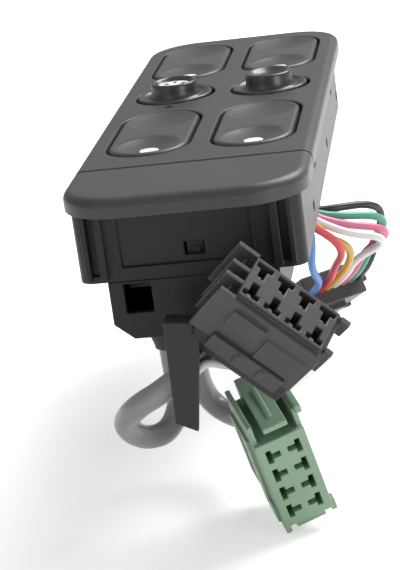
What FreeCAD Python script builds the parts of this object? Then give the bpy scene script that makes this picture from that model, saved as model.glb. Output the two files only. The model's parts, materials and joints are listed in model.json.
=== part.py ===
import FreeCAD, Part
import math
import os

from FreeCAD import Matrix, Placement, Vector

# Power window switch panel with its cable harness, in millimetres.
# +X is right across the face, +Y runs away from the plug end, +Z points out of the face.
# The origin is the middle of the plane that the panel's flange seats on.

os.makedirs("parts", exist_ok=True)

# Rockers and knobs, which set the size of the face
slot_width = 18.6
slot_length = 39.7
slot_spacing = 4.1
knob_y = 12.15
knob_hole = slot_width / 2 + 0.2
knob_to_rear = 6.6
lamp_to_knob = 2.65
lamp_to_slot = 3.8
rocker_x = (slot_width + slot_spacing) / 2
lamp_y = knob_y - knob_hole - lamp_to_knob
rocker_rows = {
    "rear": knob_y + knob_hole + knob_to_rear + slot_length / 2,
    "front": lamp_y - lamp_to_slot - slot_length / 2,
}

# Face panel, 50 by 150
side_margin = 4.35
far_margin = 7.05
seam_margin = 7.9
cap_length = 23.6
panel_width = 2 * (rocker_x + slot_width / 2 + side_margin)
seam_y = rocker_rows["front"] - slot_length / 2 - seam_margin
panel_near = seam_y - cap_length
panel_far = rocker_rows["rear"] + slot_length / 2 + far_margin
panel_corner = panel_width / 4
face_height = 4.0
edge_round = 2.0
opening_round = 0.4
seam_round = 0.3
roof = 2.4
seam_gap = 0.8
cap_lip = 2.6

# Casing below the face
flange_side = 1.7
flange_near = 6.0
flange_far = 3.0
casing_width = panel_width - 2 * flange_side
casing_near = panel_near + flange_near
casing_far = panel_far - flange_far
casing_bottom = -15.0
casing_wall = 1.5
casing_floor = 1.8
near_corner = 3.0
far_corner = 10.0
fit_gap = 0.2
inner_gap = 0.3

# Window rockers
rocker_gap = 0.7
rocker_crown = 0.3
rocker_wall = 1.5
rocker_skirt = -3.6
rocker_pivot_z = -1.0
dish_offset = (slot_length - slot_width) / 2 + 0.2
dish_depth = 1.6
upper_dish = slot_width / 2 - 1.3
lower_dish = slot_width / 2 - 2.1
dot_radius = 2.12
dot_flange = 0.8
stub_radius = 1.5
running_gap = 0.05
leg_offset = 5.2
leg_width = 2.2
leg_depth = 2.0

# Tilting knobs
knob_flange = knob_hole - 0.7
knob_height = 3.5
knob_post = 4.6
knob_stem = 1.6
symbol_radius = 3.7
symbol_height = 0.25
ring_outer = knob_hole - 2.1
ring_inner = ring_outer - 1.8
knob_hub = ring_inner
ring_half_height = 1.3
pin_radius = 1.0

# Carrier, board and mat
well_wall = 1.4
well_bottom = -6.0
carrier_plate = 2.0
board_thickness = 1.6
mat_base = 0.5
dome_height = 1.2
dome_radius = 2.6
press_travel = 1.2
boss_radius = 1.9
screw_radius = 1.2
screw_head = 2.2
screw_head_height = 1.4
boss_points = [(0.0, knob_y + knob_hole + 3.25), (0.0, lamp_y - 0.5), (13.0, casing_near + 22.0),
               (0.0, casing_far - 6.0)]
lamp_hole = 1.0
board_margin = 4.5

# Lower casing, a narrower tub with a chamfered bottom
tub_width = casing_width - 11.6
tub_far = knob_y + 15.85
tub_bottom = casing_bottom - 12.4
tub_chamfer_x = 3.9
tub_chamfer_z = 3.3
tub_wall = 1.5
tub_flange = 8.0
tub_screw_x = 12.0
port_low = (-14.4, -21.8)
port_high = (-8.8, -15.6)
snap_low = (-1.1, -10.8)
snap_high = (3.0, -8.0)

# Cables and plugs
cable_diameter = 5.0
wire_diameter = 1.9
lead_diameter = 1.8
gland_length = 6.0
green_gland = (-5.5, casing_near + 25.0)
black_gland = (-8.6, casing_near + 11.0)
side_gland_middle = 7.5
side_gland_length = 18.0
side_gland_height = 2.6
side_gland_rim = 1.0

# The black plug: middle of its mating face, the way along its columns, the way to its rear
black_face = Vector(20.78, -88.6, -15.85)
black_across = Vector(0.74, -0.005, -0.672)
black_rearward = Vector(-0.562, 0.543, -0.624)
black_pitch = 4.85
black_block = (9.5, 4.9)
black_depth = 15.0

green_face = Vector(16.2, -78.0, -56.7)
green_across = Vector(0.177, 0.202, -0.963)
green_rearward = Vector(-0.342, 0.93, 0.132)
green_rows = 4.6
green_columns = 4.0
green_block = (10.3, 5.4)
green_depth = 20.0

side_face = Vector(20.0, 24.0, -51.0)
side_across = Vector(0.76, 0.64, 0.0)
side_rearward = Vector(-0.55, 0.65, -0.52)
side_block = (8.5, 4.2)
side_depth = 15.0

# Routes of the cords between their exits and their plugs, each a list of points chosen by hand
cable_exit_run = 5.0
cable_entry_run = 6.5
wire_exit_run = 3.0
wire_entry_run = 6.0
wire_pitch = 2.5
socket_pitch = 2.4
black_cable_bends = [
    (-8.0, -57.0, -45.6), (-10.6, -61.4, -51.4), (-15.4, -66.4, -50.6), (-18.2, -72.6, -44.6),
    (-14.0, -79.2, -38.4), (-6.82, -80.4, -34.45),
]
black_cable_end = (-1.02, -79.6, -30.45)
green_cable_bends = [
    (-6.6, -42.4, -46.4), (-4.8, -40.4, -54.0), (1.2, -43.4, -57.0),
]
wire_bends = {
    "blue": [(17.6, 1.4, -34.4), (16.4, 6.6, -41.0)],
    "red": [(22.6, 3.6, -32.4), (24.6, 7.0, -37.4), (21.6, 11.6, -42.4)],
    "yellow": [(21.6, 6.8, -33.4), (26.0, 10.2, -37.0), (25.4, 14.4, -42.2)],
    "white": [(26.6, 8.8, -33.6), (34.0, 11.8, -35.8), (33.0, 16.2, -39.4), (26.6, 17.4, -42.4)],
    "pink": [(26.0, 11.4, -32.0), (33.4, 14.6, -34.2), (35.0, 18.8, -37.6), (28.8, 20.2, -41.4)],
    "green": [(25.4, 13.8, -30.4), (32.0, 17.4, -31.8), (34.8, 21.8, -35.2), (30.6, 22.9, -40.6)],
    "black": [(24.6, 16.4, -28.8), (30.4, 20.2, -29.6), (34.0, 24.6, -32.8), (32.2, 25.9, -39.2)],
}

# Short wires behind the black plug, in the plug's own x, y and depth
lead_bends = {
    "brown": [(-7.46, 6.5, 25.58), (-6.78, 4.64, 23.33), (-5.6, 2.2, 19.5), (-5.0, 0.4, 15.0)],
    "blue": [(-6.36, 5.3, 26.98), (-5.68, 3.44, 24.72), (-2.4, 1.8, 20.5), (-1.0, 0.4, 15.5)],
    "white": [(-5.26, 6.8, 25.98), (-4.58, 4.94, 23.72), (0.6, 3.4, 21.6), (3.0, 1.2, 16.5)],
}
lead_pocket = 10.5


def outline(corners, z=0.0):
    # A closed wire through corners of (x, y, radius), rounded by tangent arcs
    joints = []
    for index, (x, y, radius) in enumerate(corners):
        here = Vector(x, y, z)
        back = (Vector(*corners[index - 1][:2], z) - here).normalize()
        ahead = (Vector(*corners[(index + 1) % len(corners)][:2], z) - here).normalize()
        if radius <= 0:
            joints.append((here, here, here))
            continue
        half = back.getAngle(ahead) / 2
        reach = radius / math.tan(half)
        middle = here + (back + ahead).normalize() * (radius / math.sin(half) - radius)
        joints.append((here + back * reach, middle, here + ahead * reach))
    edges = []
    for index, (start, middle, end) in enumerate(joints):
        following = joints[(index + 1) % len(joints)][0]
        if (end - start).Length > 1e-6:
            edges.append(Part.Arc(start, middle, end).toShape())
        if (following - end).Length > 1e-6:
            edges.append(Part.LineSegment(end, following).toShape())
    return Part.Wire(edges)


def prism(corners, low, high):
    return Part.Face(outline(corners, low)).extrude(Vector(0, 0, high - low))


def slab(x0, x1, y0, y1, low, high, radius=0.0):
    return prism([(x0, y0, radius), (x1, y0, radius), (x1, y1, radius), (x0, y1, radius)], low, high)


def disc(x, y, radius, low, high):
    return Part.makeCylinder(radius, high - low, Vector(x, y, low))


def cone(x, y, base, tip, low, high):
    return Part.makeCone(base, tip, high - low, Vector(x, y, low))


def rod(start, end, radius):
    way = Vector(*end) - Vector(*start)
    return Part.makeCylinder(radius, way.Length, Vector(*start), way)


def turned(profile, x=0.0, y=0.0):
    # A closed profile of (radius, z) turned about a vertical axis
    points = [Vector(r, 0, z) for r, z in profile]
    face = Part.Face(Part.makePolygon(points + points[:1]))
    solid = face.revolve(Vector(0, 0, 0), Vector(0, 0, 1), 360)
    solid.translate(Vector(x, y, 0))
    return solid


def stadium(x, y, width, length, low, high):
    end = width / 2
    return slab(x - end, x + end, y - length / 2, y + length / 2, low, high, end)


def fused(shapes):
    first, rest = shapes[0], shapes[1:]
    return first.fuse(rest).removeSplitter() if rest else first


def less(shape, tools):
    return shape.cut(tools).removeSplitter() if tools else shape


def level_edges(shape, z):
    return [e for e in shape.Edges if abs(e.BoundBox.ZMin - z) < 1e-4 and abs(e.BoundBox.ZMax - z) < 1e-4]


def frame_of(origin, across, rearward):
    # A place whose x runs across, z runs to the rear, and y completes them
    x = Vector(across).normalize()
    z = Vector(rearward)
    z = (z - x * x.dot(z)).normalize()
    y = z.cross(x)
    grid = Matrix(x.x, y.x, z.x, origin.x, x.y, y.y, z.y, origin.y, x.z, y.z, z.z, origin.z, 0, 0, 0, 1)
    return Placement(grid)


def put(shape, place):
    moved = shape.copy()
    moved.Placement = place.multiply(moved.Placement)
    return moved


def save(name, shape):
    solids = shape.Solids
    result = solids[0] if len(solids) == 1 else Part.Compound(solids)
    result.exportStep("parts/" + name + ".step")
    print(f"{name}: {len(solids)} solid(s), {result.Volume:.1f} mm3, valid {result.isValid()}")


def cord(name, points, diameter):
    # Straight runs joined by tangent arcs, each as large as its two runs allow
    points = [Vector(p) for p in points]
    edges = []
    at = points[0]
    radii = []
    length = 0.0
    for before, here, after in zip(points, points[1:], points[2:]):
        back = before - here
        ahead = after - here
        reach = 0.45 * min(back.Length, ahead.Length)
        turn = math.pi - back.getAngle(ahead)
        radius = reach / math.tan(turn / 2)
        back.normalize()
        ahead.normalize()
        start = here + back * reach
        end = here + ahead * reach
        middle = here + (back + ahead).normalize() * (radius / math.cos(turn / 2) - radius)
        edges.append(Part.LineSegment(at, start).toShape())
        edges.append(Part.Arc(start, middle, end).toShape())
        length += (start - at).Length + radius * turn
        radii.append(radius)
        at = end
    edges.append(Part.LineSegment(at, points[-1]).toShape())
    length += (points[-1] - at).Length
    section = Part.Wire(Part.makeCircle(diameter / 2, points[0], points[1] - points[0]))
    tube = Part.Wire(edges).makePipeShell([section], True, False)
    expected = math.pi * diameter ** 2 / 4 * length
    print(f"{name}: length {length:.1f}, volume ratio {tube.Volume / expected:.4f}, "
          f"radii {[round(r, 1) for r in radii]}")
    save(name, tube)


# Places shared by several pieces
roof_under = face_height - roof
board_top = casing_bottom + casing_floor + board_thickness
board_bottom = casing_bottom + casing_floor
dome_top = board_top + mat_base + dome_height
leg_bottom = dome_top + press_travel
presser_bottom = dome_top + 0.9
snap_slots = [(rocker_rows["front"] - 4.75, -4.8), (rocker_rows["rear"] - 8.1, -4.8)]
side_vents = [(casing_near + 26.7, -10.7), (knob_y - 1.75, -11.0), (casing_far - 14.0, -11.0)]
rib_slots = ((16.9, 18.5), (20.2, 21.3))
rib_depth = 1.4


def casing_outline(inset):
    x = casing_width / 2 - inset
    near = max(near_corner - inset, 0.5)
    far = max(far_corner - inset, 0.5)
    low = casing_near + inset
    high = casing_far - inset
    return [(-x, low, near), (x, low, near), (x, high, far), (-x, high, far)]


def tub_outline(inset, top):
    # Cross-section of the tub in X and Z
    x = tub_width / 2 - inset
    low = tub_bottom + inset
    shoulder = tub_bottom + tub_chamfer_z + inset * 0.4
    foot = tub_width / 2 - tub_chamfer_x - inset * 0.4
    return [(-x, top), (x, top), (x, shoulder), (foot, low), (-foot, low), (-x, shoulder)]


def along_y(section, y0, y1):
    points = [Vector(x, y0, z) for x, z in section]
    return Part.Face(Part.makePolygon(points + points[:1])).extrude(Vector(0, y1 - y0, 0))


def knob_places():
    return {"left": (-rocker_x, knob_y), "right": (rocker_x, knob_y)}


def rocker_places():
    places = {}
    for row, y in rocker_rows.items():
        places[row + "_left"] = (-rocker_x, y)
        places[row + "_right"] = (rocker_x, y)
    return places


def whole_face():
    # The outer form of the face, still without its seam
    w = panel_width / 2
    plate = slab(-w, w, panel_near, panel_far, 0, face_height, panel_corner)
    plate = plate.makeFillet(edge_round, level_edges(plate, face_height))
    pocket = [prism(casing_outline(-fit_gap), -1, roof_under)]
    for side in (-1, 1):
        x0, x1 = sorted((side * (rib_slots[0][0] - fit_gap), side * (rib_slots[1][1] + fit_gap)))
        pocket.append(slab(x0, x1, casing_near - rib_depth - fit_gap, casing_near, -1, roof_under))
    return less(plate, pocket)


def opening_edges(shape, x, y, half_x, half_y):
    # The upper edges of one opening in the face
    edges = []
    for edge in level_edges(shape, face_height):
        centre = edge.BoundBox.Center
        if abs(centre.x - x) <= half_x + 0.1 and abs(centre.y - y) <= half_y + 0.1:
            edges.append(edge)
    return edges


def bezel(face):
    near = seam_y + seam_gap / 2
    far = Part.makeBox(panel_width, panel_far - near, 20, Vector(-panel_width / 2, near, -10))
    tools = [stadium(x, y, slot_width, slot_length, -1, face_height + 1) for x, y in rocker_places().values()]
    tools += [disc(x, y, knob_hole, -1, face_height + 1) for x, y in knob_places().values()]
    tools.append(disc(-rocker_x, lamp_y, lamp_hole, -1, face_height + 1))
    plate = less(face.common(far), tools)
    rims = []
    for x, y in rocker_places().values():
        rims += opening_edges(plate, x, y, slot_width / 2, slot_length / 2)
    for x, y in knob_places().values():
        rims += opening_edges(plate, x, y, knob_hole, knob_hole)
    plate = plate.makeFillet(opening_round, rims)
    return plate.makeFillet(seam_round, opening_edges(plate, 0, near, 1, 0))


def end_cap(face):
    far = seam_y - seam_gap / 2
    near = Part.makeBox(panel_width, far - panel_near, 20, Vector(-panel_width / 2, panel_near, -10))
    cap = face.common(near)
    cap = cap.makeFillet(seam_round, opening_edges(cap, 0, far, 1, 0))
    lip_x = casing_width / 2 - casing_wall - inner_gap
    lip = slab(-lip_x, lip_x, seam_y - 2, seam_y + cap_lip, 0.2, roof_under)
    hooks = []
    for x in (-12.0, 12.0):
        leg_y = casing_near + casing_wall + inner_gap
        hooks.append(slab(x - 3, x + 3, leg_y, leg_y + 1.4, -6.0, roof_under))
        hooks.append(along_x([(leg_y + 1.4, -3.2), (leg_y + 1.4, -6.0), (leg_y + 2.4, -4.6)], x - 3, x + 3))
    return fused([cap, lip] + hooks)


def along_x(section, x0, x1):
    points = [Vector(x0, y, z) for y, z in section]
    return Part.Face(Part.makePolygon(points + points[:1])).extrude(Vector(x1 - x0, 0, 0))


def casing():
    body = prism(casing_outline(0), casing_bottom, roof_under)
    cavity = prism(casing_outline(casing_wall), casing_bottom + casing_floor, roof_under + 1)
    mouth_x = tub_width / 2 - tub_wall
    mouth = slab(-mouth_x, mouth_x, casing_near + casing_wall, tub_far - tub_wall,
                 casing_bottom - 1, casing_bottom + casing_floor + 1)
    tools = [cavity, mouth]
    half = casing_width / 2
    for y, z in snap_slots:
        tools.append(slab(-half - 1, half + 1, y - 2.2, y + 2.2, z - 1.2, z + 1.2))
    for y, z in side_vents:
        for x in (-half, half):
            tools.append(slab(x - 0.8, x + 0.8, y - 1.6, y + 1.6, z - 1.1, z + 1.1))
    tools.append(slab(-14.0, 13.0, casing_near - 1, casing_near + 0.7, -12.1, -0.8))
    tools.append(slab(snap_low[0], snap_high[0], casing_near - 1, casing_near + 3, snap_low[1], snap_high[1]))
    tools += [disc(x, y, screw_head + 0.8, casing_bottom - 1, board_bottom) for x, y in boss_points]
    tools += [disc(x, y, screw_radius + running_gap, casing_bottom - 1, -9.0) for x, y in tub_screws()]
    rails = []
    for side in (-1, 1):
        for inner, outer in rib_slots:
            x0, x1 = sorted((side * inner, side * outer))
            rails.append(slab(x0, x1, casing_near - rib_depth, casing_near + 0.5, -14.1, roof_under - fit_gap))
        x0, x1 = sorted((side * rib_slots[0][1], side * rib_slots[1][0]))
        tools.append(slab(x0, x1, casing_near - 1, casing_near + 0.8, -13.4, -0.2))
    bosses = [disc(x, y, boss_radius + 0.4, board_bottom - 0.2, -9.0) for x, y in tub_screws()]
    return less(fused([less(body, [cavity, mouth])] + bosses), tools[2:]).fuse(rails).removeSplitter()


def tub_screws():
    return [(-tub_screw_x, tub_far + tub_flange / 2), (tub_screw_x, tub_far + tub_flange / 2)]


def lower_casing():
    outer = along_y(tub_outline(0, casing_bottom), casing_near, tub_far)
    inner = along_y(tub_outline(tub_wall, casing_bottom + 1), casing_near + tub_wall, tub_far - tub_wall)
    x = tub_width / 2
    flange = slab(-x, x, tub_far - 1, tub_far + tub_flange, casing_bottom - casing_floor, casing_bottom)
    hook_y = casing_near + casing_wall + inner_gap
    hook = slab(snap_low[0] + 0.3, snap_high[0] - 0.3, hook_y, hook_y + 1.4, casing_bottom - 2, snap_high[1] + 1)
    root = slab(snap_low[0] + 0.3, snap_high[0] - 0.3, hook_y - inner_gap - 0.5, hook_y + 1.4,
                casing_bottom - 4, casing_bottom)
    barb = along_x([(hook_y, snap_low[1] + 0.4), (hook_y, snap_high[1] - 1.0),
                    (casing_near + 1.1, snap_low[1] + 0.4)], snap_low[0] + 1.2, snap_high[0] - 0.9)
    holes = [disc(px, py, screw_radius + 0.3, casing_bottom - 5, casing_bottom + 1) for px, py in tub_screws()]
    holes.append(Part.makeBox(port_high[0] - port_low[0], 4, port_high[1] - port_low[1],
                              Vector(port_low[0], casing_near - 1, port_low[1])))
    for px, py in (green_gland, black_gland):
        holes.append(disc(px, py, cable_diameter / 2 + 1.3, tub_bottom - 1, tub_bottom + 3))
    half, high = side_gland_length / 2, side_gland_height / 2 + 0.1
    holes.append(put(slab(-half, half, -high, high, -tub_wall - 2, 1), gland_place))
    ribs = []
    for side in (-1, 1):
        for y in (-52.0, -30.0, -8.0, 22.0):
            x0, x1 = sorted((side * (x - tub_wall - 0.8), side * (x - tub_wall + 0.2)))
            ribs.append(slab(x0, x1, y - 0.6, y + 0.6, tub_bottom + tub_chamfer_z + 1, casing_bottom))
    return less(fused([less(outer, [inner]), flange, hook, root, barb] + ribs), holes)


def carrier():
    inset = casing_wall + inner_gap
    room = prism(casing_outline(inset), well_bottom - 20, roof_under)
    room = room.common(Part.makeBox(100, 200, 100, Vector(-50, seam_y + cap_lip + inner_gap, -60)))
    low_plate = roof_under - carrier_plate
    plate = room.common(Part.makeBox(100, 300, carrier_plate, Vector(-50, -150, low_plate)))
    wells = [stadium(x, y, slot_width + 2 * well_wall, slot_length + 2 * well_wall, well_bottom, roof_under)
             for x, y in rocker_places().values()]
    wells += [disc(x, y, knob_hole + well_wall, well_bottom, roof_under) for x, y in knob_places().values()]
    bosses = [disc(x, y, boss_radius, board_top, roof_under) for x, y in boss_points]
    solid = fused([plate] + [w.common(room) for w in wells] + [b.common(room) for b in bosses])
    tools = [stadium(x, y, slot_width, slot_length, well_bottom - 1, roof_under + 1)
             for x, y in rocker_places().values()]
    tools += [disc(x, y, knob_hole, well_bottom - 1, roof_under + 1) for x, y in knob_places().values()]
    reach = slot_width / 2 + well_wall + 0.3
    for x, y in rocker_places().values():
        tools.append(rod((x - reach, y, rocker_pivot_z), (x + reach, y, rocker_pivot_z),
                         stub_radius + running_gap))
    for x, y in knob_places().values():
        reach_y = knob_hole + well_wall + 0.3
        tools.append(rod((x, y - reach_y, 0), (x, y + reach_y, 0), pin_radius + running_gap))
    tools += [disc(x, y, screw_radius + running_gap, board_top - 1, -3.0) for x, y in boss_points]
    tools.append(disc(-rocker_x, lamp_y, lamp_hole, -5, roof_under + 1))
    barbs = []
    half = casing_width / 2
    for y, z in snap_slots:
        for side in (-1, 1):
            base = side * (half - casing_wall - inner_gap - 0.4)
            tip = side * (half - 0.4)
            points = [(base, z + 0.9), (base, z - 0.9), (tip, z + 0.9)]
            barbs.append(along_y(points, y - 1.9, y + 1.9))
    return fused([less(solid, tools)] + barbs)


def circuit_board():
    inset = casing_wall + inner_gap
    plate = prism(casing_outline(inset), board_bottom, board_top)
    length = casing_far - casing_near - board_margin - 5.5
    plate = plate.common(Part.makeBox(100, length, 20, Vector(-50, casing_near + board_margin, -20)))
    tools = [disc(x, y, screw_radius + 0.2, -20, 0) for x, y in boss_points]
    tools += [disc(x, y, boss_radius + 0.7, -20, 0) for x, y in tub_screws()]
    return less(plate, tools)


def dome_places():
    places = []
    for x, y in rocker_places().values():
        for side in (-1, 1):
            for end in (-1, 1):
                places.append((x + side * leg_offset, y + end * dish_offset))
    for x, y in knob_places().values():
        places += [(x + 3.4, y), (x - 3.4, y), (x, y + 3.4), (x, y - 3.4)]
    return places


def lamp_places():
    return [(x, y - dish_offset) for x, y in rocker_places().values()] + [(-rocker_x, lamp_y)]


def dome_mat():
    x = casing_width / 2 - casing_wall - inner_gap - 0.9
    near = rocker_rows["front"] - dish_offset - 10.1
    far = rocker_rows["rear"] + dish_offset + 3.65
    base = slab(-x, x, near, far, board_top, board_top + mat_base, 3)
    tools = [disc(x, y, boss_radius + 0.4, -20, 0) for x, y in boss_points]
    tools += [disc(x, y, boss_radius + 0.7, -20, 0) for x, y in tub_screws()]
    tools += [slab(x - 2, x + 2, y - 1.5, y + 1.5, -20, 0, 0.8) for x, y in lamp_places()]
    sheet = less(base, tools)
    domes = []
    for x, y in dome_places():
        wide = dome_radius if abs(y - knob_y) > 5 else 1.6
        domes.append(cone(x, y, wide, wide * 0.62, board_top + mat_base, dome_top))
    return fused([sheet] + domes)


def board_lamps():
    lamps = []
    for x, y in lamp_places():
        base = slab(x - 1.6, x + 1.6, y - 1.0, y + 1.0, board_top, board_top + 0.7, 0.1)
        lamps.append(fused([base, disc(x, y, 0.8, board_top + 0.6, board_top + 1.0)]))
    return Part.Compound(lamps)


def rocker(x, y):
    width = slot_width - 2 * rocker_gap
    length = slot_length - 2 * rocker_gap
    top = face_height + rocker_crown
    cap = stadium(x, y, width, length, rocker_skirt, top)
    cap = cap.makeFillet(0.9, level_edges(cap, top))
    ceiling = top - dish_depth - rocker_wall
    inside = stadium(x, y, width - 2 * rocker_wall, length - 2 * rocker_wall, rocker_skirt - 1, ceiling)
    dishes = []
    for side, radius in ((1, upper_dish), (-1, lower_dish)):
        ball = (radius ** 2 + dish_depth ** 2) / (2 * dish_depth)
        dishes.append(Part.makeSphere(ball, Vector(x, y + side * dish_offset, top - dish_depth + ball)))
    dot = disc(x, y - dish_offset, dot_radius + running_gap, -1, top + 1)
    cap = less(cap, [inside] + dishes)
    bar = slab(x - width / 2 + 0.5, x + width / 2 - 0.5, y - 2.0, y + 2.0, rocker_skirt, ceiling + 0.3)
    bar = bar.fuse(slab(x - 1.2, x + 1.2, y - length / 2 + 1, y - dish_offset - 4, -1.0, ceiling + 0.3))
    bar = bar.fuse(slab(x - 1.2, x + 1.2, y + 1, y + length / 2 - 1, -1.0, ceiling + 0.3))
    reach = slot_width / 2 + 0.7
    stub = rod((x - reach, y, rocker_pivot_z), (x + reach, y, rocker_pivot_z), stub_radius)
    legs = []
    for side in (-1, 1):
        for end in (-1, 1):
            lx, ly = x + side * leg_offset, y + end * dish_offset
            legs.append(slab(lx - leg_width / 2, lx + leg_width / 2, ly - leg_depth / 2, ly + leg_depth / 2,
                             leg_bottom, ceiling + 0.3))
    return less(fused([cap, bar, stub] + legs), [dot])


def rocker_dot(x, y):
    top = face_height + rocker_crown
    ceiling = top - dish_depth - rocker_wall
    y -= dish_offset
    stem = disc(x, y, dot_radius, ceiling - 0.1, top - dish_depth + 0.12)
    return stem.fuse(disc(x, y, dot_radius + 0.6, ceiling - dot_flange, ceiling)).removeSplitter()


def knob(x, y):
    top = face_height + knob_height
    profile = [(0, top - 1.2), (4.0, top - 1.2), (4.9, top - 0.1), (5.3, top), (knob_hub, top - 0.5),
               (knob_hub - 0.25, face_height - 0.4), (7.4, face_height - 0.6), (8.3, face_height + 0.45),
               (knob_flange, face_height + 0.3), (knob_flange, 3.0), (8.0, 2.2), (knob_post, 2.2),
               (knob_post, -2.0), (knob_stem, -2.4), (knob_stem, presser_bottom + 1.2),
               (ring_inner - 0.2, presser_bottom + 1.2), (ring_inner - 0.2, presser_bottom),
               (0, presser_bottom)]
    body = turned(profile, x, y)
    pins = rod((x - ring_outer + 0.2, y, 0), (x + ring_outer - 0.2, y, 0), pin_radius)
    scallops = []
    notch = 3.4
    for dx, dy in ((1, 0), (-1, 0), (0, 1), (0, -1)):
        start = (x + dx * 4.15, y + dy * 4.15, top + notch - 0.95)
        end = (x + dx * 7.0, y + dy * 7.0, top + notch - 0.95)
        scallops.append(rod(start, end, notch))
    return less(body, scallops).fuse(pins).removeSplitter()


def gimbal_ring(x, y):
    ring = disc(x, y, ring_outer, -ring_half_height, ring_half_height)
    reach = knob_hole + well_wall - 0.2
    ring = ring.fuse(rod((x, y - reach, 0), (x, y + reach, 0), pin_radius))
    tools = [disc(x, y, ring_inner, -5, 5), rod((x - 9, y, 0), (x + 9, y, 0), pin_radius + running_gap)]
    return less(ring, tools)


def knob_symbol(x, y):
    # A plain disc with five wedges cut out, which leaves a ring and a simple figure
    low = face_height + knob_height - 1.2
    plate = disc(x, y, symbol_radius, low, low + symbol_height)
    wedges = []
    for centre, spread in ((90, 26), (20, 52), (-48, 44), (-132, 44), (160, 52)):
        first = math.radians(centre - spread / 2)
        last = math.radians(centre + spread / 2)
        inner, outer = 0.95, symbol_radius - 0.55
        corners = [(x + inner * math.cos(math.radians(centre)), y + inner * math.sin(math.radians(centre)), 0),
                   (x + outer * math.cos(first), y + outer * math.sin(first), 0.2),
                   (x + outer * math.cos(last), y + outer * math.sin(last), 0.2)]
        wedges.append(prism(corners, low - 1, low + 1))
    return less(plate, wedges)


def lamp_window():
    low = roof_under - carrier_plate
    pipe = disc(-rocker_x, lamp_y, lamp_hole - running_gap, board_top + 1.6, face_height - 0.1)
    tab = slab(-rocker_x - 1.6, -rocker_x + 1.6, lamp_y - 2.0, lamp_y + 0.9, low - 0.8, low, 0.3)
    return pipe.fuse(tab).removeSplitter()


def relay(x, y):
    body = slab(x - 6.6, x + 6.6, y - 7.4, y + 7.4, board_bottom - 10.0, board_bottom - 0.8, 0.8)
    body = body.makeFillet(0.6, level_edges(body, board_bottom - 10.0))
    return body.fuse(slab(x - 6.2, x + 6.2, y - 7.0, y + 7.0, board_bottom - 1, board_bottom)).removeSplitter()


def board_header():
    near = casing_near + 7.0
    far = near + 23.5
    block = slab(-15.0, 1.0, near, far, board_bottom - 5.5, board_bottom, 0.6)
    slots = [slab(x - 1.4, x + 1.4, near + 1.5, far - 1.5, board_bottom - 6.5, board_bottom - 3.5)
             for x in (-11.8, -7.0, -2.2)]
    return less(block, slots)


def screws(points, head_low, shank_top):
    group = []
    for x, y in points:
        head = disc(x, y, screw_head, head_low - screw_head_height, head_low)
        head = head.makeFillet(0.4, level_edges(head, head_low - screw_head_height))
        drive = [slab(x - 1.3, x + 1.3, y - 0.3, y + 0.3, head_low - screw_head_height - 1, head_low - 0.7),
                 slab(x - 0.3, x + 0.3, y - 1.3, y + 1.3, head_low - screw_head_height - 1, head_low - 0.7)]
        group.append(less(head.fuse(disc(x, y, screw_radius, head_low, shank_top)), drive))
    return Part.Compound(group)


def cable_gland(x, y):
    r = cable_diameter / 2
    out = tub_bottom
    end = out - gland_length
    floor_in = out + tub_wall
    profile = [(0, floor_in + 1.2), (r + 1.7, floor_in + 1.2), (r + 1.7, floor_in), (r + 1.2, floor_in),
               (r + 1.2, out), (r + 2.2, out), (r + 2.0, out - 1.2), (r + 0.7, end + 0.6), (r + 0.7, end), (0, end)]
    return turned(profile, x, y)


def side_gland():
    half, high = side_gland_length / 2, side_gland_height / 2
    neck = slab(-half + 0.1, half - 0.1, -high, high, -tub_wall - 0.3, 0.2)
    inner = slab(-half - 0.5, half + 0.5, -high - 0.5, high + 0.5, -tub_wall - 1.0, -tub_wall - 0.15)
    outer = slab(-half - 0.6, half + 0.6, -high - 0.9, high + 0.9, 0, side_gland_rim)
    outer = outer.makeFillet(0.4, level_edges(outer, side_gland_rim))
    return fused([neck, inner, outer])


def black_plug():
    bx, by = black_block
    block = slab(-bx, bx, -by, by, 0, black_depth)
    shell_top = slab(-bx - 0.6, bx + 0.6, by, by + 1.3, 1.0, black_depth)
    shell_low = slab(-bx - 0.6, bx + 0.6, -by - 1.3, -by, 1.6, black_depth)
    right = slab(bx, bx + 1.2, -by - 1.3, by + 1.3, 2.0, black_depth)
    ears = [slab(bx + 0.8, bx + 3.0, -by - 0.6, -by + 0.8, 0.8, 5.0), slab(bx + 0.8, bx + 2.6, by - 2.2, by - 1.0, 1.0, 8.0)]
    rails = []
    for y0, y1, depth in ((-by - 1.3, -by - 0.3, 4.6), (-1.9, -0.9, 4.0), (1.3, 2.3, 4.0), (by + 0.3, by + 1.3, 3.4)):
        rails.append(slab(-bx - depth, -bx + 0.2, y0, y1, 0.6, black_depth))
    spine = slab(-bx - 1.4, -bx, -by - 1.3, by + 1.3, 3.0, black_depth)
    steps = [slab(-8.0, -0.5, by + 1.3, by + 2.0, 3.0, 8.0), slab(0.5, bx, by + 1.3, by + 1.7, 5.0, 12.0)]
    tools = []
    for column in range(4):
        x = (column - 1.5) * black_pitch
        for row, y in ((0, -black_pitch / 2), (1, black_pitch / 2)):
            way = -1 if row == 0 else 1
            bar = sorted((y + way * 0.6, y + way * 1.8))
            stem = sorted((y - way * 1.7, y + way * 0.7))
            tools.append(slab(x - 1.75, x + 1.75, bar[0], bar[1], -1, 8.5))
            tools.append(slab(x - 0.75, x + 0.75, stem[0], stem[1], -1, 8.5))
    tools.append(slab(-bx + 2, bx - 2, -by + 1, by - 1, 10.5, black_depth + 1))
    for x in (-3.0, 3.4):
        tools.append(slab(x - 1.2, x + 1.2, -by - 2, -by - 0.8, 9.0, 10.2))
    tools.append(slab(bx - 1.2, bx - 0.4, -by - 2, -by - 0.6, 2.6, 9.0))
    return less(fused([block, shell_top, shell_low, right, spine] + ears + rails + steps), tools)


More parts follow.
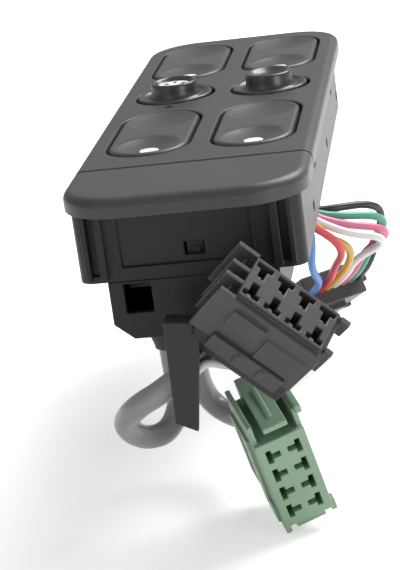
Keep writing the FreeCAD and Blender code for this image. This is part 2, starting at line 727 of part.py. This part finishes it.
def black_plug_lock():
    # A flat slide on the side of the plug that locks the terminals
    bx, by = black_block
    low = by + 1.3 + 0.02
    plate = slab(-8.0, 8.6, low, low + 0.9, 12.4, 17.0, 0.4)
    return plate.fuse([slab(-2.0, -0.6, low, low + 1.3, 13.0, 16.4), slab(3.4, 4.8, low, low + 1.3, 13.0, 16.4)])


def black_plug_cover(place):
    # Open cover behind the plug; its tongue hangs straight down and carries the cable
    bx, by = black_block
    z0, z1 = black_depth, black_depth + 5.0
    outer = slab(-bx - 2.0, bx + 1.2, -by - 1.3, by + 1.3, z0, z1, 0.8)
    hollow = slab(-bx - 0.6, bx - 0.2, -by, by, z0 - 1, z1 + 1, 0.5)
    shell = put(less(outer, [hollow]), place)
    tongue_y = black_face.y + 4.4
    points = [(-4.8, -19.05), (2.6, -19.85), (1.9, -23.45), (-0.8, -42.45), (-5.1, -40.35)]
    tongue = along_y(points, tongue_y, tongue_y + 1.4)
    web = along_y([(-4.8, -19.05), (2.6, -19.85), (2.1, -22.85), (-4.7, -22.85)], tongue_y, tongue_y + 5.0)
    return fused([shell, tongue, web])


def terminals(columns, rows, pitch_x, pitch_y, inset, depth):
    group = []
    for column in range(columns):
        for row in range(rows):
            x = (column - (columns - 1) / 2) * pitch_x
            y = (row - (rows - 1) / 2) * pitch_y
            group.append(slab(x - 0.55, x + 0.55, y - 0.3, y + 0.3, inset, depth))
    return group


def green_plug():
    gx, gy = green_block
    block = slab(-gx, gx, -gy, gy, 0, green_depth)
    guards = [slab(-gx - 4.2, -gx + 0.5, gy - 1.1, gy, 1.2, green_depth - 2),
              slab(-gx - 4.2, -gx + 0.5, -gy, -gy + 1.1, 1.2, green_depth - 2)]
    corner = [slab(-gx - 5.0, -gx - 3.2, -gy - 0.9, -gy + 0.4, 0.4, 8.0)]
    arm = along_y([(-gx + 0.2, green_depth), (-gx - 4.6, green_depth), (-gx - 4.4, green_depth - 3.0),
                   (-gx - 3.6, -0.6), (-gx - 2.4, -0.6), (-gx - 2.9, green_depth - 4.0),
                   (-gx + 0.2, green_depth - 3.0)], -2.6, 2.6)
    rib = along_y([(-gx - 4.1, green_depth - 6.0), (-gx - 4.9, green_depth - 6.0), (-gx - 4.2, 2.6),
                   (-gx - 3.6, 2.6)], -0.45, 0.45)
    tab = slab(gx, gx + 1.6, -gy + 1.8, gy - 2.6, 1.0, 3.2)
    lugs = [slab(gx - 0.4, gx + 1.4, gy - 1.2, gy, 0, 6.0), slab(gx - 1.6, gx + 1.2, -gy - 0.8, -gy + 0.4, 0.8, 3.0)]
    side = [slab(-gx + 1.0, gx - 5.0, gy, gy + 0.7, 5.0, green_depth - 2), slab(gx - 4.4, gx - 0.6, gy, gy + 0.6, 2.0, 12.0)]
    tools = []
    for row in range(4):
        x = (row - 1.5) * green_rows
        for y, way in ((-green_columns / 2, -1), (green_columns / 2, 1)):
            bar = sorted((y + way * 0.6, y + way * 1.7))
            stem = sorted((y - way * 1.2, y + way * 0.7))
            tools.append(slab(x - 1.5, x + 1.5, bar[0], bar[1], -1, 8.0))
            tools.append(slab(x - 0.6, x + 0.6, stem[0], stem[1], -1, 8.0))
    for x in (-5.2, -1.4, 2.4):
        tools.append(slab(x - 0.7, x + 0.7, gy + 0.2, gy + 1.5, 8.0, 9.4))
    tools.append(slab(-gx + 1.5, gx - 5.6, gy + 0.35, gy + 1.5, 11.0, 15.0))
    return less(fused([block] + guards + corner + [arm, rib, tab] + lugs + side), tools)


def side_plug():
    sx, sy = side_block
    body = slab(-sx, sx, -sy, sy, 0, side_depth, 0.5)
    collar = slab(-sx - 0.7, sx + 0.7, -sy - 0.7, sy + 0.7, side_depth - 5.0, side_depth - 3.2, 0.5)
    nub = slab(sx - 0.2, sx + 1.8, -1.5, 1.5, 0.6, 5.0, 0.4)
    latch = slab(-2.4, 2.4, sy - 0.2, sy + 1.6, 2.0, 9.0, 0.4)
    tools = []
    for column in range(5):
        for row in (-1, 1):
            x = (column - 2) * 3.0
            tools.append(slab(x - 0.8, x + 0.8, row * 2.0 - 0.8, row * 2.0 + 0.8, side_depth - 6, side_depth + 1))
    return less(fused([body, collar, nub, latch]), tools)


def cable_start(x, y):
    # Straight down out of the gland
    end = tub_bottom - gland_length
    return [Vector(x, y, end), Vector(x, y, end - cable_exit_run)]


def wire_start(number):
    # Straight out of the side gland
    x = (number - 3) * wire_pitch
    return [gland_place.multVec(Vector(x, 0, side_gland_rim + run)) for run in (0, wire_exit_run)]


def entry(place, x, depth, run):
    # The last two points of a cord that runs square into a plug
    way = 1 if depth > 0 else -1
    return [place.multVec(Vector(x, 0, depth + way * run)), place.multVec(Vector(x, 0, depth))]


black_place = frame_of(black_face, black_across, black_rearward)
green_place = frame_of(green_face, green_across, green_rearward)
side_place = frame_of(side_face, side_across, side_rearward)
gland_place = frame_of(Vector((tub_width - tub_chamfer_x) / 2, side_gland_middle, tub_bottom + tub_chamfer_z / 2),
                       Vector(0, 1, 0), Vector(tub_chamfer_z, 0, -tub_chamfer_x))

face = whole_face()
save("bezel", bezel(face))
save("end_cap", end_cap(face))
save("upper_casing", casing())
save("lower_casing", lower_casing())
save("switch_carrier", carrier())
save("circuit_board", circuit_board())
save("dome_mat", dome_mat())
save("board_lamps", board_lamps())
save("lamp_window", lamp_window())
for place_name, (px, py) in rocker_places().items():
    save("rocker_" + place_name, rocker(px, py))
    save("indicator_" + place_name, rocker_dot(px, py))
for place_name, (px, py) in knob_places().items():
    save("knob_" + place_name, knob(px, py))
    save("gimbal_ring_" + place_name, gimbal_ring(px, py))
save("knob_symbol", knob_symbol(*knob_places()["left"]))
for number, (px, py) in enumerate([(-7.8, 41.0), (7.8, 41.0), (-7.8, 59.0), (7.8, 59.0)], 1):
    save(f"relay_{number}", relay(px, casing_near + py))
save("board_header", board_header())
save("board_screws", screws(boss_points, board_bottom, -4.0))
save("casing_screws", screws(tub_screws(), casing_bottom - casing_floor, -10.0))
save("cable_gland_black", cable_gland(*black_gland))
save("cable_gland_green", cable_gland(*green_gland))
save("side_gland", put(side_gland(), gland_place))
save("black_plug", put(black_plug(), black_place))
save("black_plug_lock", put(black_plug_lock(), black_place))
save("black_plug_cover", black_plug_cover(black_place))
save("black_plug_terminals", put(Part.Compound(terminals(4, 2, black_pitch, black_pitch, 2.0, 8.5)), black_place))
save("green_plug", put(green_plug(), green_place))
save("green_plug_terminals", put(Part.Compound(terminals(4, 2, green_rows, green_columns, 1.5, 8.0)), green_place))
save("side_plug", put(side_plug(), side_place))
cord("black_cable", cable_start(*black_gland) + black_cable_bends + [black_cable_end], cable_diameter)
cord("green_cable", cable_start(*green_gland) + green_cable_bends
     + entry(green_place, 0, green_depth, cable_entry_run), cable_diameter)
for number, (colour, bends) in enumerate(wire_bends.items()):
    socket_x = (number - 3) * socket_pitch
    cord("side_wire_" + colour, wire_start(number) + bends
         + entry(side_place, socket_x, 0, wire_entry_run), wire_diameter)
for colour, bends in lead_bends.items():
    end = (bends[-1][0], bends[-1][1], lead_pocket)
    route = [black_place.multVec(Vector(*point)) for point in bends + [end]]
    cord("lead_" + colour, route, lead_diameter)
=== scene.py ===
# Power window switch panel: finishes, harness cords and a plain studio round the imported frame
import json
import math

import bmesh
import bpy
from mathutils import Matrix, Vector


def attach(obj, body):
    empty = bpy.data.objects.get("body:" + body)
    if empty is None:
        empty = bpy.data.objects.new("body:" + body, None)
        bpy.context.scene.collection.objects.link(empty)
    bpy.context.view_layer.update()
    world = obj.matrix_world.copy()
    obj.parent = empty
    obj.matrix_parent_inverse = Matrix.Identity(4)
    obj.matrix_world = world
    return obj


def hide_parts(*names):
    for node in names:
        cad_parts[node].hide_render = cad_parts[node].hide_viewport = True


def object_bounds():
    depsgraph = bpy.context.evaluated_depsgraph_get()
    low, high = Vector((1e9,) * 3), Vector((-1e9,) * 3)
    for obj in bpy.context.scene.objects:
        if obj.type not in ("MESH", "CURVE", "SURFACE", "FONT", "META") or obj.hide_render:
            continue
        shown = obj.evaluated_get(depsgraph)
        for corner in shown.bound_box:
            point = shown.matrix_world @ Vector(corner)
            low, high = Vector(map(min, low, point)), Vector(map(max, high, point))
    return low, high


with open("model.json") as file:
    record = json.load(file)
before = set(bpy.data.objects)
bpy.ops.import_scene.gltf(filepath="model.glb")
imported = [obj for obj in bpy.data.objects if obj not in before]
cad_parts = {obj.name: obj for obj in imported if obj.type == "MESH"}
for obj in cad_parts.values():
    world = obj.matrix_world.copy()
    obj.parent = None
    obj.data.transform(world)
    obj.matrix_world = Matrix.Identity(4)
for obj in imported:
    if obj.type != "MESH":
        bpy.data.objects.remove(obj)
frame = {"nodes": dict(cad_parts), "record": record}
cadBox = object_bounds()
nodes = frame["nodes"]
mm = 0.001
print("frame loaded:", len(nodes), "nodes")


def camelName(name):
    first, *rest = name.split("_")
    return first + "".join(word.capitalize() for word in rest)


def slotOf(node):
    return next(part["material_slot"] for part in frame["record"]["subparts"] if part["node"] == node)


def bodyOf(node):
    bodies = frame["record"]["behaviour"]["bodies"]
    return next(body for body, members in bodies.items() if node in members)


def connect(tree, source, target):
    tree.links.new(source, target)


def addNode(tree, kind, values=None, **settings):
    node = tree.nodes.new(kind)
    for name, value in settings.items():
        setattr(node, name, value)
    for socket, value in (values or {}).items():
        node.inputs[socket].default_value = value
    return node


def newGroup(name, inputs, outputs):
    group = bpy.data.node_groups.new(name, "ShaderNodeTree")
    for label, kind, value in inputs:
        socket = group.interface.new_socket(name=label, in_out="INPUT", socket_type=kind)
        socket.default_value = value
    for label, kind in outputs:
        group.interface.new_socket(name=label, in_out="OUTPUT", socket_type=kind)
    start = group.nodes.new("NodeGroupInput")
    end = group.nodes.new("NodeGroupOutput")
    return group, start, end


# Moulded plastic: fine spark-eroded grain, slow cloudiness of the tone and a slightly uneven gloss
grainValues = {"height": 0.06, "detail": 3.0, "spread": 0.6, "cloudsPerMm": 0.06, "cloudDetail": 2.0,
               "glossSwing": 0.05}


def makeMouldedPlastic():
    group, start, end = newGroup(
        "mouldedPlastic",
        [("Color", "NodeSocketColor", (0.1, 0.1, 0.1, 1)), ("Grain Size", "NodeSocketFloat", 0.25),
         ("Grain Depth", "NodeSocketFloat", 0.3), ("Roughness", "NodeSocketFloat", 0.5),
         ("Cloudiness", "NodeSocketFloat", 0.1)],
        [("Color", "NodeSocketColor"), ("Roughness", "NodeSocketFloat"), ("Normal", "NodeSocketVector")])
    place = addNode(group, "ShaderNodeTexCoord")
    millimetres = addNode(group, "ShaderNodeMapping", {"Scale": (1000, 1000, 1000)})
    connect(group, place.outputs["Object"], millimetres.inputs["Vector"])
    frequency = addNode(group, "ShaderNodeMath", {0: 1.0}, operation="DIVIDE")
    connect(group, start.outputs["Grain Size"], frequency.inputs[1])
    grain = addNode(group, "ShaderNodeTexNoise",
                    {"Detail": grainValues["detail"], "Roughness": grainValues["spread"]})
    connect(group, millimetres.outputs["Vector"], grain.inputs["Vector"])
    connect(group, frequency.outputs[0], grain.inputs["Scale"])
    clouds = addNode(group, "ShaderNodeTexNoise",
                     {"Scale": grainValues["cloudsPerMm"], "Detail": grainValues["cloudDetail"]})
    connect(group, millimetres.outputs["Vector"], clouds.inputs["Vector"])
    bump = addNode(group, "ShaderNodeBump", {"Distance": grainValues["height"] * mm})
    connect(group, grain.outputs["Fac"], bump.inputs["Height"])
    connect(group, start.outputs["Grain Depth"], bump.inputs["Strength"])
    connect(group, bump.outputs["Normal"], end.inputs["Normal"])
    shade = addNode(group, "ShaderNodeMapRange", {"From Min": 0.3, "From Max": 0.7})
    connect(group, clouds.outputs["Fac"], shade.inputs["Value"])
    dark = addNode(group, "ShaderNodeMath", {0: 1.0}, operation="SUBTRACT")
    light = addNode(group, "ShaderNodeMath", {0: 1.0}, operation="ADD")
    connect(group, start.outputs["Cloudiness"], dark.inputs[1])
    connect(group, start.outputs["Cloudiness"], light.inputs[1])
    connect(group, dark.outputs[0], shade.inputs["To Min"])
    connect(group, light.outputs[0], shade.inputs["To Max"])
    tone = addNode(group, "ShaderNodeVectorMath", operation="SCALE")
    connect(group, start.outputs["Color"], tone.inputs[0])
    connect(group, shade.outputs["Result"], tone.inputs["Scale"])
    connect(group, tone.outputs["Vector"], end.inputs["Color"])
    swing = grainValues["glossSwing"]
    gloss = addNode(group, "ShaderNodeMapRange",
                    {"From Min": 0.35, "From Max": 0.65, "To Min": -swing, "To Max": swing})
    connect(group, grain.outputs["Fac"], gloss.inputs["Value"])
    total = addNode(group, "ShaderNodeMath", operation="ADD", use_clamp=True)
    connect(group, start.outputs["Roughness"], total.inputs[0])
    connect(group, gloss.outputs["Result"], total.inputs[1])
    connect(group, total.outputs[0], end.inputs["Roughness"])
    return group


mouldedPlastic = makeMouldedPlastic()


def plasticFinish(name, color, roughness=0.45, grainSize=0.25, grainDepth=0.3, cloudiness=0.06,
                  specular=0.5, coat=0.0):
    material = bpy.data.materials.new(name)
    material.use_nodes = True
    tree = material.node_tree
    shader = tree.nodes["Principled BSDF"]
    shader.inputs["Specular IOR Level"].default_value = specular
    shader.inputs["Coat Weight"].default_value = coat
    shader.inputs["Coat Roughness"].default_value = 0.25
    grain = addNode(tree, "ShaderNodeGroup")
    grain.node_tree = mouldedPlastic
    grain.inputs["Color"].default_value = (*color, 1)
    grain.inputs["Grain Size"].default_value = grainSize
    grain.inputs["Grain Depth"].default_value = grainDepth
    grain.inputs["Roughness"].default_value = roughness
    grain.inputs["Cloudiness"].default_value = cloudiness
    connect(tree, grain.outputs["Color"], shader.inputs["Base Color"])
    connect(tree, grain.outputs["Roughness"], shader.inputs["Roughness"])
    connect(tree, grain.outputs["Normal"], shader.inputs["Normal"])
    return material


def metalFinish(name, color, roughness=0.3, grainSize=0.4, grainDepth=0.25):
    material = plasticFinish(name, color, roughness, grainSize, grainDepth, 0.1)
    material.node_tree.nodes["Principled BSDF"].inputs["Metallic"].default_value = 1.0
    return material


# Finishes, one for each material slot of the record
finishes = {
    "face_plastic": plasticFinish("facePlastic", (0.05, 0.0478, 0.0485), 0.42, 0.22, 0.4, specular=0.36),
    "rocker_plastic": plasticFinish("rockerPlastic", (0.054, 0.0515, 0.0525), 0.4, 0.2, 0.35, specular=0.42),
    "knob_plastic": plasticFinish("knobPlastic", (0.03, 0.029, 0.03), 0.3, 0.2, 0.2, specular=0.6),
    "print_white": plasticFinish("whitePrint", (0.78, 0.78, 0.77), 0.4, 0.3, 0.15, 0.03),
    "casing_plastic": plasticFinish("casingPlastic", (0.019, 0.019, 0.0205), 0.42, 0.35, 0.3, 0.14,
                                    specular=0.24),
    "carrier_plastic": plasticFinish("carrierPlastic", (0.02, 0.02, 0.021), 0.5, 0.4, 0.2, 0.08),
    "relay_plastic": plasticFinish("relayPlastic", (0.016, 0.016, 0.018), 0.35, 0.3, 0.2, 0.08),
    "board_laminate": plasticFinish("boardLaminate", (0.02, 0.11, 0.05), 0.3, 0.8, 0.1, 0.15),
    "mat_rubber": plasticFinish("matRubber", (0.03, 0.03, 0.031), 0.65, 0.3, 0.2, 0.08),
    "lamp_clear": plasticFinish("lampClear", (0.7, 0.71, 0.7), 0.2, 0.5, 0.05, 0.04),
    "lamp_smoked": plasticFinish("lampSmoked", (0.012, 0.012, 0.013), 0.15, 0.5, 0.03, 0.02, coat=0.4),
    "screw_steel": metalFinish("screwSteel", (0.55, 0.55, 0.56), 0.35),
    "plug_black": plasticFinish("plugBlack", (0.054, 0.0515, 0.0535), 0.42, 0.35, 0.3, 0.1, specular=0.36),
    "plug_green": plasticFinish("plugGreen", (0.195, 0.302, 0.205), 0.4, 0.35, 0.2, 0.1),
    "terminal_brass": metalFinish("terminalBrass", (0.62, 0.5, 0.3), 0.28),
    "cable_sheath": plasticFinish("cableSheath", (0.225, 0.214, 0.22), 0.36, 0.9, 0.22, 0.08, coat=0.15),
}
wireColors = {
    "blue": (0.06, 0.2, 0.52), "red": (0.54, 0.04, 0.05), "yellow": (0.55, 0.34, 0.055),
    "black": (0.02, 0.02, 0.021), "white": (0.66, 0.65, 0.66), "pink": (0.62, 0.15, 0.25),
    "green": (0.07, 0.32, 0.22), "brown": (0.13, 0.05, 0.035),
}
for name, color in wireColors.items():
    finishes["wire_" + name] = plasticFinish(
        "wire" + name.capitalize(), color, roughness=0.4 if name == "brown" else 0.35, grainSize=0.8,
        grainDepth=0.1, cloudiness=0.05 if name == "white" else 0.08)

# Painted shade: the rear cover of the black plug gets a darker base colour than its body, standing in for
# the shade on its face that is turned away from the light
paintedShadeFinishes = {
    "black_plug_cover": plasticFinish("coverBlack", (0.021, 0.0205, 0.022), 0.45, 0.35, 0.3, 0.1,
                                      specular=0.3),
}


def finishOf(node):
    return paintedShadeFinishes.get(node, finishes[slotOf(node)])


for part in frame["record"]["subparts"]:
    mesh = nodes[part["node"]].data
    mesh.materials.clear()
    mesh.materials.append(finishOf(part["node"]))
print("finishes placed:", len(finishes))


# Softened pieces: a merged copy of the CAD piece whose sharp edges get the small radius of the mould,
# in mm; at 0 the copy only gets smooth, weighted normals
edgeRounds = {
    "bezel": 0.0, "end_cap": 0.0, "upper_casing": 0.2, "lower_casing": 0.2, "side_gland": 0.15,
    "rocker_rear_left": 0.15, "rocker_rear_right": 0.15, "rocker_front_left": 0.15,
    "rocker_front_right": 0.15,
    "indicator_rear_left": 0.1, "indicator_rear_right": 0.1, "indicator_front_left": 0.1,
    "indicator_front_right": 0.1, "knob_symbol": 0.04,
    "cable_gland_black": 0.2, "cable_gland_green": 0.2, "black_plug": 0.18, "black_plug_lock": 0.15,
    "black_plug_cover": 0.25, "black_plug_terminals": 0.1, "green_plug": 0.2, "green_plug_terminals": 0.1,
    "side_plug": 0.25, "switch_carrier": 0.0,
}
softenValues = {"sharpAngle": 32.0, "mergeDistance": 0.003, "flatAngle": 0.6, "segments": 2}


def soften(node, radius):
    mesh = bpy.data.meshes.new(camelName(node) + "Soft")
    shape = bmesh.new()
    shape.from_mesh(nodes[node].data)
    bmesh.ops.remove_doubles(shape, verts=shape.verts, dist=softenValues["mergeDistance"] * mm)
    bmesh.ops.dissolve_limit(shape, angle_limit=math.radians(softenValues["flatAngle"]), verts=shape.verts,
                             edges=shape.edges, use_dissolve_boundaries=False)
    for face in shape.faces:
        face.smooth = True
    shape.to_mesh(mesh)
    shape.free()
    mesh.set_sharp_from_angle(angle=math.radians(softenValues["sharpAngle"]))
    piece = bpy.data.objects.new(camelName(node) + "Soft", mesh)
    bpy.context.scene.collection.objects.link(piece)
    if radius > 0:
        bevel = piece.modifiers.new("mouldRadius", "BEVEL")
        bevel.limit_method = "ANGLE"
        bevel.angle_limit = math.radians(softenValues["sharpAngle"])
        bevel.width = radius * mm
        bevel.segments = softenValues["segments"]
        bevel.use_clamp_overlap = False
    flat = piece.modifiers.new("flatFaces", "WEIGHTED_NORMAL")
    flat.keep_sharp = True
    mesh.materials.append(finishOf(node))
    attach(piece, bodyOf(node))
    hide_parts(node)
    return piece


softPieces = {node: soften(node, radius) for node, radius in edgeRounds.items()}
print("pieces softened:", len(softPieces))


# Knobs: a dished cap on a thin collar, turned in one piece with its stem
# Each profile runs from the middle of the crown to the foot of the stem, as (radius, height) in mm
knobValues = {
    "middleY": 12.15, "middleX": 11.35, "segments": 96, "sharpAngle": 50.0, "mergeDistance": 0.002,
    "crown": {"Left": [(0, 6.29), (3.75, 6.3), (4.1, 6.5), (4.35, 6.95), (4.62, 7.32)],
              "Right": [(0, 5.95), (1.2, 6.0), (2.4, 6.2), (3.4, 6.55), (4.1, 7.0), (4.55, 7.34)]},
    "side": [(4.9, 7.46), (5.15, 7.44), (5.4, 7.24), (5.5, 6.9), (5.55, 5.6), (5.72, 4.3), (6.1, 3.78),
             (6.7, 3.62), (7.3, 3.74), (7.9, 4.2), (8.25, 4.42), (8.6, 4.36), (8.78, 4.1), (8.8, 3.02),
             (8.0, 2.22), (4.6, 2.2), (4.58, -2.0), (1.62, -2.4), (1.6, -7.8), (5.4, -7.8), (5.4, -9.0),
             (0, -9.0)],
}


def makeKnob(side, sign):
    mesh = bpy.data.meshes.new("knobCap" + side)
    shape = bmesh.new()
    profile = knobValues["crown"][side] + knobValues["side"]
    points = [shape.verts.new((radius * mm, 0, height * mm)) for radius, height in profile]
    line = [shape.edges.new(pair) for pair in zip(points, points[1:])]
    bmesh.ops.spin(shape, geom=points + line, cent=(0, 0, 0), axis=(0, 0, 1), dvec=(0, 0, 0),
                   angle=math.tau, steps=knobValues["segments"], use_merge=True, use_duplicate=False)
    bmesh.ops.remove_doubles(shape, verts=shape.verts, dist=knobValues["mergeDistance"] * mm)
    bmesh.ops.recalc_face_normals(shape, faces=shape.faces)
    bmesh.ops.translate(shape, verts=shape.verts,
                        vec=(sign * knobValues["middleX"] * mm, knobValues["middleY"] * mm, 0))
    for face in shape.faces:
        face.smooth = True
    shape.to_mesh(mesh)
    shape.free()
    mesh.set_sharp_from_angle(angle=math.radians(knobValues["sharpAngle"]))
    knob = bpy.data.objects.new("knobCap" + side, mesh)
    bpy.context.scene.collection.objects.link(knob)
    mesh.materials.append(finishes["knob_plastic"])
    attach(knob, "knob_body_" + side.lower())
    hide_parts("knob_" + side.lower())


makeKnob("Left", -1)
makeKnob("Right", 1)
print("knobs turned")


# Cords: each route repeats the points of the part's own source, in millimetres
cableValues = {"diameter": 5.0, "resolution": 14, "roundness": 6}
wireValues = {"diameter": 1.9, "resolution": 14, "roundness": 6}

cableRoutes = {
    "black_cable": [(-8.6, -58.0, -33.4), (-8.6, -58.0, -38.4), (-8.0, -57.0, -45.6), (-10.6, -61.4, -51.4),
                    (-15.4, -66.4, -50.6), (-18.2, -72.6, -44.6), (-14.0, -79.2, -38.4),
                    (-6.82, -80.4, -34.45), (-1.02, -79.6, -30.45)],
    "green_cable": [(-5.5, -44.0, -33.4), (-5.5, -44.0, -38.4), (-6.6, -42.4, -46.4), (-4.8, -40.4, -54.0),
                    (1.2, -43.4, -57.0), (7.13, -53.35, -53.2), (9.36, -59.39, -54.06)],
}
wireRoutes = {
    "blue": [(17.6, 1.4, -34.4), (16.4, 6.6, -41.0)],
    "red": [(22.6, 3.6, -32.4), (24.6, 7.0, -37.4), (21.6, 11.6, -42.4)],
    "yellow": [(21.6, 6.8, -33.4), (26.0, 10.2, -37.0), (25.4, 14.4, -42.2)],
    "white": [(26.6, 8.8, -33.6), (34.0, 11.8, -35.8), (33.0, 16.2, -39.4), (26.6, 17.4, -42.4)],
    "pink": [(26.0, 11.4, -32.0), (33.4, 14.6, -34.2), (35.0, 18.8, -37.6), (28.8, 20.2, -41.4)],
    "green": [(25.4, 13.8, -30.4), (32.0, 17.4, -31.8), (34.8, 21.8, -35.2), (30.6, 22.9, -40.6)],
    "black": [(24.6, 16.4, -28.8), (30.4, 20.2, -29.6), (34.0, 24.6, -32.8), (32.2, 25.9, -39.2)],
}
wireEnds = {
    "blue": [(17.79, 15.45, -47.87), (14.49, 19.36, -51.0)],
    "red": [(19.63, 16.99, -47.87), (16.33, 20.91, -51.0)],
    "yellow": [(21.46, 18.54, -47.87), (18.16, 22.45, -51.0)],
    "white": [(23.3, 20.08, -47.87), (20.0, 24.0, -51.0)],
    "pink": [(25.13, 21.63, -47.87), (21.84, 25.55, -51.0)],
    "green": [(26.97, 23.18, -47.87), (23.67, 27.09, -51.0)],
    "black": [(28.81, 24.72, -47.87), (25.51, 28.64, -51.0)],
}
sideGland = {"firstY": 0.0, "pitch": 2.5, "mouth": (16.196, -26.513), "runEnd": (18.134, -28.803)}


def runLength(points):
    return sum((b - a).length for a, b in zip(points, points[1:]))


def splineLength(curveObject):
    # Length of the smooth line itself, read from a copy of the curve with no bevel
    bare = curveObject.copy()
    bare.data = curveObject.data.copy()
    bare.data.bevel_depth = 0
    bpy.context.scene.collection.objects.link(bare)
    bpy.context.view_layer.update()
    line = bpy.data.meshes.new_from_object(bare.evaluated_get(bpy.context.evaluated_depsgraph_get()))
    points = [v.co.copy() for v in line.vertices]
    bareData = bare.data
    bpy.data.objects.remove(bare)
    bpy.data.curves.remove(bareData)
    bpy.data.meshes.remove(line)
    return runLength(points)


def makeCord(name, route, values, node):
    points = [Vector(p) * mm for p in route]
    data = bpy.data.curves.new(name, "CURVE")
    data.dimensions = "3D"
    data.resolution_u = values["resolution"]
    data.bevel_depth = values["diameter"] * mm / 2
    data.bevel_resolution = values["roundness"]
    data.use_fill_caps = True
    spline = data.splines.new("NURBS")
    spline.points.add(len(points) - 1)
    for item, place in zip(spline.points, points):
        item.co = (*place, 1)
    spline.order_u = 3
    spline.use_endpoint_u = True
    cordObject = bpy.data.objects.new(name, data)
    bpy.context.scene.collection.objects.link(cordObject)
    data.materials.append(finishes[slotOf(node)])
    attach(cordObject, "panel")
    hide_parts(node)
    round(splineLength(cordObject), 4)


makeCord("blackPlugCable", cableRoutes["black_cable"], cableValues, "black_cable")
makeCord("greenPlugCable", cableRoutes["green_cable"], cableValues, "green_cable")
for number, (color, bends) in enumerate(wireRoutes.items()):
    startY = sideGland["firstY"] + number * sideGland["pitch"]
    start = [(x, startY, z) for x, z in (sideGland["mouth"], sideGland["runEnd"])]
    makeCord(color + "SideWire", start + bends + wireEnds[color], wireValues, "side_wire_" + color)
print("cords laid:", 2 + len(wireRoutes))


# Studio, in metres: pale floor below the hanging plugs, soft lamps, white behind
studioValues = {"floorGap": 0.0005, "floorSize": 6.0, "floorTone": 0.93, "floorRoughness": 0.9,
                "floorGlow": 0.4, "worldLight": 0.43, "backdrop": 1.0}
lampValues = {
    "keyLamp": {"place": (0.32, 0.3, 0.55), "aim": (0, 0, 0), "size": (0.5, 0.5), "power": 8.3},
    "frontLamp": {"place": (-0.35, -0.6, 0.25), "aim": (0, -0.06, -0.02), "size": (0.4, 0.5), "power": 0.4},
    "lowLamp": {"place": (0.45, -0.45, -0.02), "aim": (0, -0.06, -0.04), "size": (0.3, 0.3), "power": 1.35},
}
white = (1, 1, 1, 1)


def makeFloor():
    mesh = bpy.data.meshes.new("studioFloor")
    shape = bmesh.new()
    bmesh.ops.create_grid(shape, x_segments=1, y_segments=1, size=studioValues["floorSize"])
    bmesh.ops.translate(shape, verts=shape.verts, vec=(0, 0, cadBox[0].z - studioValues["floorGap"]))
    shape.to_mesh(mesh)
    shape.free()
    floor = bpy.data.objects.new("studioFloor", mesh)
    bpy.context.scene.collection.objects.link(floor)
    material = bpy.data.materials.new("studioFloor")
    material.use_nodes = True
    shader = material.node_tree.nodes["Principled BSDF"]
    tone = studioValues["floorTone"]
    shader.inputs["Base Color"].default_value = (tone, tone, tone, 1)
    shader.inputs["Roughness"].default_value = studioValues["floorRoughness"]
    shader.inputs["Emission Color"].default_value = white
    # The glow is for what the camera and reflections see and puts no light on the object
    tree = material.node_tree
    path = addNode(tree, "ShaderNodeLightPath")
    seen = addNode(tree, "ShaderNodeMath", operation="MAXIMUM")
    glow = addNode(tree, "ShaderNodeMath", {1: studioValues["floorGlow"]}, operation="MULTIPLY")
    connect(tree, path.outputs["Is Camera Ray"], seen.inputs[0])
    connect(tree, path.outputs["Is Glossy Ray"], seen.inputs[1])
    connect(tree, seen.outputs[0], glow.inputs[0])
    connect(tree, glow.outputs[0], shader.inputs["Emission Strength"])
    mesh.materials.append(material)


def makeWorld():
    world = bpy.data.worlds.new("studioWorld")
    bpy.context.scene.world = world
    world.use_nodes = True
    tree = world.node_tree
    tree.nodes.clear()
    out = addNode(tree, "ShaderNodeOutputWorld")
    light = addNode(tree, "ShaderNodeBackground", {"Color": white, "Strength": studioValues["worldLight"]})
    behind = addNode(tree, "ShaderNodeBackground", {"Color": white, "Strength": studioValues["backdrop"]})
    path = addNode(tree, "ShaderNodeLightPath")
    mix = addNode(tree, "ShaderNodeMixShader")
    connect(tree, path.outputs["Is Camera Ray"], mix.inputs["Fac"])
    connect(tree, light.outputs[0], mix.inputs[1])
    connect(tree, behind.outputs[0], mix.inputs[2])
    connect(tree, mix.outputs[0], out.inputs["Surface"])


def makeLamp(name, place, aim, size, power):
    data = bpy.data.lights.new(name, "AREA")
    data.shape = "RECTANGLE"
    data.size, data.size_y = size
    data.energy = power
    lamp = bpy.data.objects.new(name, data)
    bpy.context.scene.collection.objects.link(lamp)
    lamp.location = place
    lamp.rotation_euler = (Vector(aim) - Vector(place)).to_track_quat("-Z", "Y").to_euler()


makeFloor()
makeWorld()
for name, values in lampValues.items():
    makeLamp(name, **values)

# Camera: the right-hand view of the photograph, closer in so that the panel fills the frame
cameraValues = {"place": (0.05796, -0.42502, 0.10096), "aim": (-0.00989, 0.0, -0.03999), "lens": 119.7,
                "sensor": 36.0, "roll": 7.97, "nearest": 0.01, "farthest": 20.0}


def makeCamera():
    data = bpy.data.cameras.new("photoCamera")
    data.sensor_fit = "AUTO"
    data.sensor_width = cameraValues["sensor"]
    data.lens = cameraValues["lens"]
    data.clip_start = cameraValues["nearest"]
    data.clip_end = cameraValues["farthest"]
    camera = bpy.data.objects.new("photoCamera", data)
    bpy.context.scene.collection.objects.link(camera)
    camera.location = cameraValues["place"]
    way = Vector(cameraValues["aim"]) - Vector(cameraValues["place"])
    level = way.to_track_quat("-Z", "Y").to_matrix().to_4x4()
    turned = level @ Matrix.Rotation(math.radians(-cameraValues["roll"]), 4, "Z")
    camera.rotation_euler = turned.to_euler()
    bpy.context.scene.camera = camera


makeCamera()
bpy.context.scene.view_settings.view_transform = "Standard"
print("studio set")
